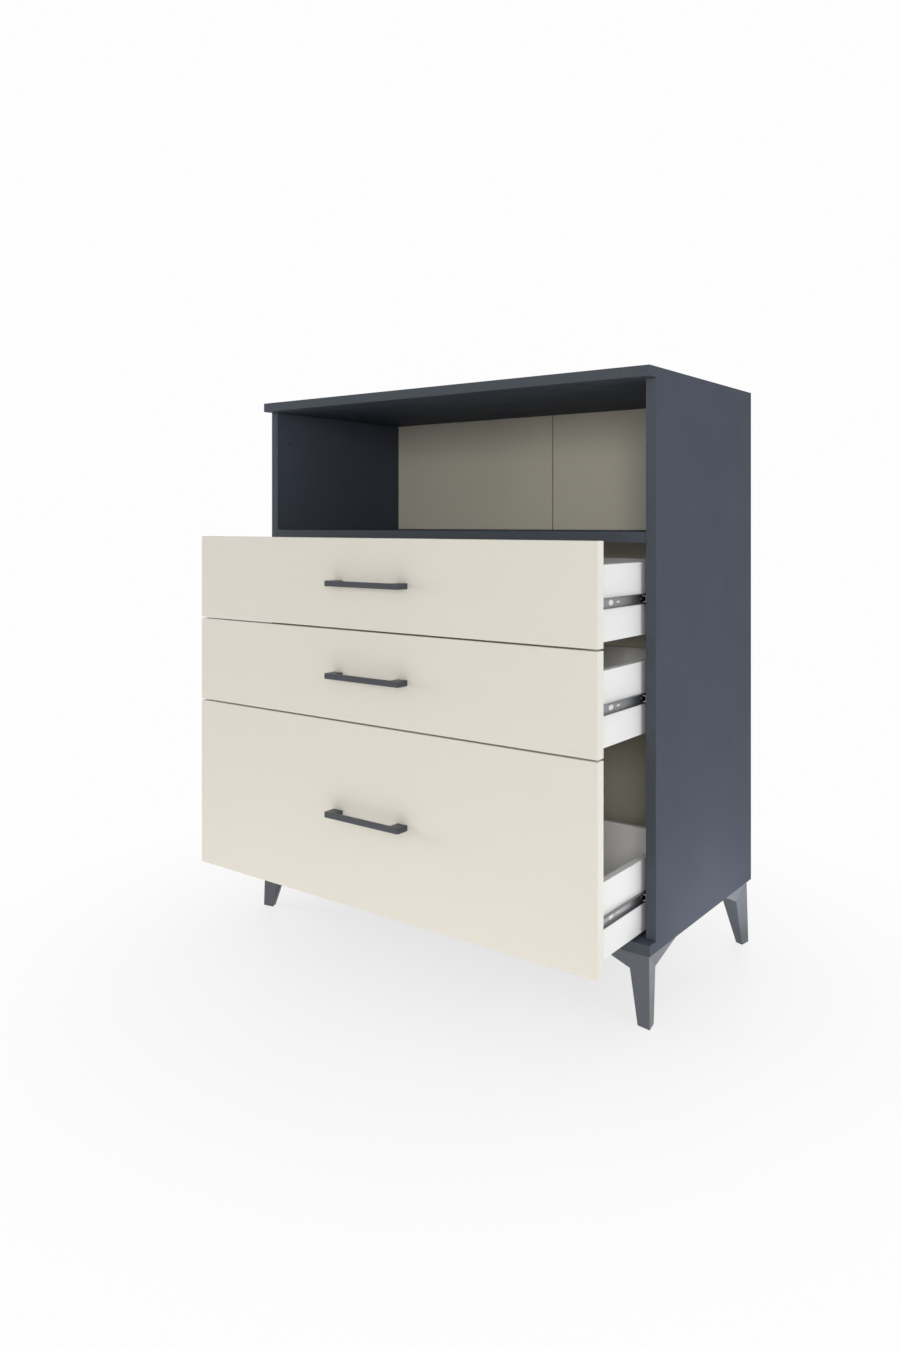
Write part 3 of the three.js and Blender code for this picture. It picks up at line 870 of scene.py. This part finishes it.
# %% [markdown]
# **Handles.** A cast bar has a small round along each edge, which the paint softens further. It is
# less than half a millimetre here, and shows as a thin line of light.

# %% Rounded handles
drawers = ("bottom", "middle", "top")
handle_round = 0.4 * mm
for drawer in drawers:
    bar = rounded(f"{drawer}_drawer_handle", f"{drawer}_handle_bar", handle_round)
    place_piece(bar, f"{drawer}_drawer", handle_paint)
    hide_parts(f"{drawer}_drawer_handle")

# %% [markdown]
# **Legs.** They are held by screws that go up through the wings, in bores deep enough to hide the
# heads. The bores are cut after the rounding, because a bevel stops short where edges crowd
# together.

# %% Screw places in the legs
leg_names = [name for name in nodes if name.endswith("_leg")]
bore_width = 8.0 * mm
bore_floor = 112.0 * mm
bore_reach = 70.0 * mm
bores_along_wing = [(58 * mm, 15 * mm), (80 * mm, 11.5 * mm)]


def leg_screw_places(name):
    """Where screws go in, for a leg in any corner: two along each wing, in from the corner."""
    low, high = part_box(name)
    corner_x, way_x = (low.x, 1) if "left" in name else (high.x, -1)
    corner_y, way_y = (low.y, 1) if "front" in name else (high.y, -1)
    steps = bores_along_wing + [(v, u) for u, v in bores_along_wing]
    return [(corner_x + way_x * u, corner_y + way_y * v, bore_floor) for u, v in steps]


leg_screws = {name: leg_screw_places(name) for name in leg_names}
print("leg screws:", sum(len(places) for places in leg_screws.values()))

# %% Rounded legs with their bores
leg_round = 0.7 * mm
bore_sides = 20


def drill_bits(places):
    bits = bmesh.new()
    for x, y, top in places:
        middle = Matrix.Translation((x, y, top - bore_reach / 2))
        bmesh.ops.create_cone(
            bits,
            cap_ends=True,
            segments=bore_sides,
            radius1=bore_width / 2,
            radius2=bore_width / 2,
            depth=bore_reach,
            matrix=middle,
        )
    mesh = bpy.data.meshes.new("drill_bits")
    bits.to_mesh(mesh)
    bits.free()
    return add_object("drill_bits", mesh)


for name in leg_names:
    leg = rounded(name, "draft_leg", leg_round)
    bits = drill_bits(leg_screws[name])
    cut = leg.modifiers.new("bores", "BOOLEAN")
    cut.operation = "DIFFERENCE"
    cut.solver = "EXACT"
    cut.object = bits
    moulded = baked(leg, name.replace("_leg", "_moulded_leg"))
    bpy.data.objects.remove(bits)
    place_piece(moulded, "carcass", leg_plastic)
    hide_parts(name)

# %% [markdown]
# ## Screws by Geometry Nodes
# The chest has some sixty small screws. Modelling each one would be tedious and copying them by
# hand would drift, so one tree of nodes makes a screw from its sizes and sets it in rows: the
# object's own points say where each row starts and which way its heads look. The head is a
# cylinder drawn in towards its crown, with a cross sunk in it by a Boolean.

# %% The screw tree and its named inputs
screw_inputs = {
    "Geometry": "NodeSocketGeometry",
    "Count": "NodeSocketInt",
    "Pitch": "NodeSocketFloat",
    "Head Width": "NodeSocketFloat",
    "Head Height": "NodeSocketFloat",
    "Crown": "NodeSocketFloat",
    "Recess Width": "NodeSocketFloat",
    "Recess Length": "NodeSocketFloat",
    "Recess Depth": "NodeSocketFloat",
    "Shank Width": "NodeSocketFloat",
    "Shank Length": "NodeSocketFloat",
    "Finish": "NodeSocketMaterial",
}
screw_tree = bpy.data.node_groups.new("screw_rows", "GeometryNodeTree")
screw_ids = {}
for label, kind in screw_inputs.items():
    socket = screw_tree.interface.new_socket(name=label, in_out="INPUT", socket_type=kind)
    screw_ids[label] = socket.identifier
screw_tree.interface.new_socket(name="Geometry", in_out="OUTPUT", socket_type="NodeSocketGeometry")
given = add_node(screw_tree, "NodeGroupInput").outputs
result = add_node(screw_tree, "NodeGroupOutput").inputs
print("screw tree inputs:", len(screw_ids))

# %% The head: a cylinder drawn in towards its crown
screw_sides = 20
side_steps = 4


def combine(tree, x, y, z):
    node = add_node(tree, "ShaderNodeCombineXYZ")
    for socket, value in zip(node.inputs, (x, y, z)):
        feed(tree, socket, value)
    return node.outputs[0]


def shifted(tree, geometry, offset):
    node = add_node(tree, "GeometryNodeTransform")
    feed(tree, node.inputs["Geometry"], geometry)
    feed(tree, node.inputs["Translation"], offset)
    return node.outputs[0]


def halved(tree, value):
    return maths(tree, "DIVIDE", value, 2.0)


blank = add_node(screw_tree, "GeometryNodeMeshCylinder")
blank.inputs["Vertices"].default_value = screw_sides
blank.inputs["Side Segments"].default_value = side_steps
feed(screw_tree, blank.inputs["Radius"], halved(screw_tree, given["Head Width"]))
feed(screw_tree, blank.inputs["Depth"], given["Head Height"])
lift = combine(screw_tree, 0.0, 0.0, halved(screw_tree, given["Head Height"]))
head = shifted(screw_tree, blank.outputs["Mesh"], lift)
print("a head has", screw_sides, "sides in", side_steps, "steps")

# %% The crown
crown_power = 3.0
at = add_node(screw_tree, "ShaderNodeSeparateXYZ")
feed(screw_tree, at.inputs[0], add_node(screw_tree, "GeometryNodeInputPosition").outputs[0])
level = maths(screw_tree, "DIVIDE", at.outputs["Z"], given["Head Height"])
bend = maths(screw_tree, "POWER", level, crown_power)
draw_in = spread(screw_tree, bend, 1.0, given["Crown"])
crowned = add_node(screw_tree, "GeometryNodeSetPosition")
feed(screw_tree, crowned.inputs["Geometry"], head)
drawn_x = maths(screw_tree, "MULTIPLY", at.outputs["X"], draw_in)
drawn_y = maths(screw_tree, "MULTIPLY", at.outputs["Y"], draw_in)
drawn = combine(screw_tree, drawn_x, drawn_y, at.outputs["Z"])
feed(screw_tree, crowned.inputs["Position"], drawn)
print("the crown's power is", crown_power)

# %% The cross and the shank
def slab(tree, length_x, length_y):
    """One bar of the cross. Its lower half is sunk in the head."""
    cube = add_node(tree, "GeometryNodeMeshCube")
    deep = maths(tree, "MULTIPLY", given["Recess Depth"], 2.0)
    feed(tree, cube.inputs["Size"], combine(tree, length_x, length_y, deep))
    return shifted(tree, cube.outputs["Mesh"], combine(tree, 0.0, 0.0, given["Head Height"]))


def boolean(tree, operation, first, others):
    """A difference of the first mesh and the others, or a union of the others alone."""
    node = add_node(tree, "GeometryNodeMeshBoolean", operation=operation, solver="EXACT")
    if first:
        feed(tree, node.inputs["Mesh 1"], first)
    for other in others:
        tree.links.new(other, node.inputs["Mesh 2"])
    return node.outputs["Mesh"]


cross = [
    slab(screw_tree, given["Recess Length"], given["Recess Width"]),
    slab(screw_tree, given["Recess Width"], given["Recess Length"]),
]
crossed = boolean(screw_tree, "DIFFERENCE", crowned.outputs[0], cross)
overlap = 0.1 * mm
stem = add_node(screw_tree, "GeometryNodeMeshCylinder")
stem.inputs["Vertices"].default_value = screw_sides
feed(screw_tree, stem.inputs["Radius"], halved(screw_tree, given["Shank Width"]))
stem_length = maths(screw_tree, "ADD", given["Shank Length"], overlap)
feed(screw_tree, stem.inputs["Depth"], stem_length)
sink = maths(screw_tree, "SUBTRACT", overlap, halved(screw_tree, stem_length))
shank = shifted(screw_tree, stem.outputs["Mesh"], combine(screw_tree, 0.0, 0.0, sink))
screw = boolean(screw_tree, "UNION", None, [crossed, shank])
print("one screw:", len(screw_tree.nodes), "nodes")

# %% The rows
row = add_node(screw_tree, "GeometryNodeMeshLine")
feed(screw_tree, row.inputs["Count"], given["Count"])
feed(screw_tree, row.inputs["Offset"], combine(screw_tree, 0.0, given["Pitch"], 0.0))
starts = add_node(screw_tree, "GeometryNodeInstanceOnPoints")
feed(screw_tree, starts.inputs["Points"], given["Geometry"])
feed(screw_tree, starts.inputs["Instance"], row.outputs["Mesh"])
seats = add_node(screw_tree, "GeometryNodeRealizeInstances")
feed(screw_tree, seats.inputs[0], starts.outputs[0])
turn = add_node(screw_tree, "GeometryNodeInputNamedAttribute", data_type="FLOAT_VECTOR")
turn.inputs["Name"].default_value = "turn"
to_turn = add_node(screw_tree, "FunctionNodeEulerToRotation")
feed(screw_tree, to_turn.inputs[0], turn.outputs["Attribute"])
heads = add_node(screw_tree, "GeometryNodeInstanceOnPoints")
feed(screw_tree, heads.inputs["Points"], seats.outputs[0])
feed(screw_tree, heads.inputs["Instance"], screw)
feed(screw_tree, heads.inputs["Rotation"], to_turn.outputs[0])
real = add_node(screw_tree, "GeometryNodeRealizeInstances")
feed(screw_tree, real.inputs[0], heads.outputs[0])
plated = add_node(screw_tree, "GeometryNodeSetMaterial")
feed(screw_tree, plated.inputs["Geometry"], real.outputs[0])
feed(screw_tree, plated.inputs["Material"], given["Finish"])
feed(screw_tree, result["Geometry"], plated.outputs[0])
print("screw tree:", len(screw_tree.nodes), "nodes")

# %% [markdown]
# To use the tree, an object gets one point for each row, and on each point the turn that brings a
# head's axis from straight up to the way it looks. The result is turned into a plain mesh before
# it rides on its body.

# %% Helper for rows of screws
quarter = math.pi / 2
turn_to = {
    "+x": (0, quarter, 0),
    "-x": (0, -quarter, 0),
    "+y": (-quarter, 0, 0),
    "-z": (2 * quarter, 0, 0),
}
plain_screw = {
    "Count": 1,
    "Pitch": 0.0,
    "Head Width": 6.6 * mm,
    "Head Height": 1.4 * mm,
    "Crown": 0.72,
    "Recess Width": 0.8 * mm,
    "Recess Length": 3.4 * mm,
    "Recess Depth": 0.9 * mm,
    "Shank Width": 3.4 * mm,
    "Shank Length": 6.0 * mm,
    "Finish": screw_steel,
}
print("a head can look along", ", ".join(turn_to))


def screw_rows(name, body, starts, sizes):
    """starts holds pairs: where a row begins, and which way its heads look."""
    mesh = bpy.data.meshes.new(name)
    mesh.from_pydata([place for place, _ in starts], [], [])
    turns = mesh.attributes.new("turn", "FLOAT_VECTOR", "POINT")
    for value, (_, way) in zip(turns.data, starts):
        value.vector = turn_to[way]
    draft = add_object("draft_" + name, mesh)
    maker = draft.modifiers.new("screws", "NODES")
    maker.node_group = screw_tree
    for label, value in {**plain_screw, **sizes}.items():
        maker[screw_ids[label]] = value
    made = baked(draft, name)
    place_piece(made, body)
    return made


# %% [markdown]
# **On the slides.** Each cabinet rail is held to its side panel by three pan-head screws, low
# enough for the ball cage to pass over them. Each drawer rail is held to its drawer by three flat
# ones. Their places come from the rails' own boxes.

# %% Screws on the cabinet's sides
rail_sheet = 0.8 * mm
rail_length = 350 * mm
first_hole = 35 * mm
cabinet_pitch = (rail_length - 2 * first_hole) / 2
starts = []
for drawer in drawers:
    for hand, way in (("left", 1), ("right", -1)):
        low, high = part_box(f"{drawer}_cabinet_rail_{hand}")
        web = low.x + rail_sheet if way > 0 else high.x - rail_sheet
        seat = (web, low.y + first_hole, (low.z + high.z) / 2)
        starts.append((seat, "+x" if way > 0 else "-x"))
screw_rows("cabinet_rail_screws", "carcass", starts, {"Count": 3, "Pitch": cabinet_pitch})

# %% Screws on the drawers' sides
flat_head = {
    "Count": 3,
    "Pitch": 142 * mm,
    "Head Width": 5.6 * mm,
    "Head Height": 0.55 * mm,
    "Crown": 0.88,
    "Recess Length": 2.8 * mm,
    "Recess Depth": 0.4 * mm,
}
first_setback = 33 * mm
for drawer in drawers:
    starts = []
    for hand, way in (("left", -1), ("right", 1)):
        low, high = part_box(f"{drawer}_drawer_rail_{hand}")
        web = high.x - rail_sheet if way < 0 else low.x + rail_sheet
        seat = (web, low.y + first_setback, (low.z + high.z) / 2)
        starts.append((seat, "+x" if way > 0 else "-x"))
    screw_rows(f"{drawer}_drawer_rail_screws", f"{drawer}_drawer", starts, flat_head)

# %% [markdown]
# **In the legs.** Four pan-head screws hold each leg, at the bottom of the bores that were cut
# above. Their heads look down.

# %% Screws in the legs
leg_screw = {"Shank Length": 5 * mm}
starts = [(place, "-z") for places in leg_screws.values() for place in places]
screw_rows("leg_screws", "carcass", starts, leg_screw)

# %% [markdown]
# **Under the bottom panel.** The sides stand on the bottom panel and are pulled down on it by long
# connecting screws from below. Their heads are sunk, so only a flat disc with a cross shows, and
# the rows keep clear of the legs' wings.

# %% Screws under the bottom panel
connector = {
    "Count": 3,
    "Pitch": 80 * mm,
    "Head Width": 9.5 * mm,
    "Head Height": 0.5 * mm,
    "Crown": 0.93,
    "Recess Width": 1.1 * mm,
    "Recess Length": 5.0 * mm,
    "Recess Depth": 0.4 * mm,
    "Shank Width": 6.4 * mm,
    "Shank Length": 14 * mm,
}
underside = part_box("bottom_panel")[0].z
first_connector = 20 * mm
starts = []
for side in ("left_side_panel", "right_side_panel"):
    low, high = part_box(side)
    starts.append((((low.x + high.x) / 2, first_connector, underside), "-z"))
screw_rows("connecting_screws", "carcass", starts, connector)

# %% [markdown]
# **Behind the handles.** Each handle is held by two machine screws from inside the drawer. The CAD
# screws are plain turned shapes, so these stand for them, with the same sizes and a cross.

# %% Screws behind the handles
bolt = {
    "Head Width": 8.0 * mm,
    "Head Height": 2.4 * mm,
    "Recess Width": 0.9 * mm,
    "Recess Length": 4.2 * mm,
    "Recess Depth": 1.3 * mm,
    "Shank Width": 4.0 * mm,
}
for drawer in drawers:
    names = [f"{drawer}_drawer_handle_screw_{hand}" for hand in ("left", "right")]
    starts = []
    for name in names:
        low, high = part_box(name)
        seat_y = high.y - bolt["Head Height"]
        starts.append((((low.x + high.x) / 2, seat_y, (low.z + high.z) / 2), "+y"))
    shank_length = seat_y - low.y
    sizes = {**bolt, "Shank Length": shank_length}
    made = screw_rows(f"{drawer}_handle_bolts", f"{drawer}_drawer", starts, sizes)
    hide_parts(*names)

# %% Sizes and finish
dressed_low, dressed_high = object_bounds()
sizes = {
    "packed": [list(packed_low), list(packed_high)],
    "dressed": [list(dressed_low), list(dressed_high)],
}
print("size", sizes)
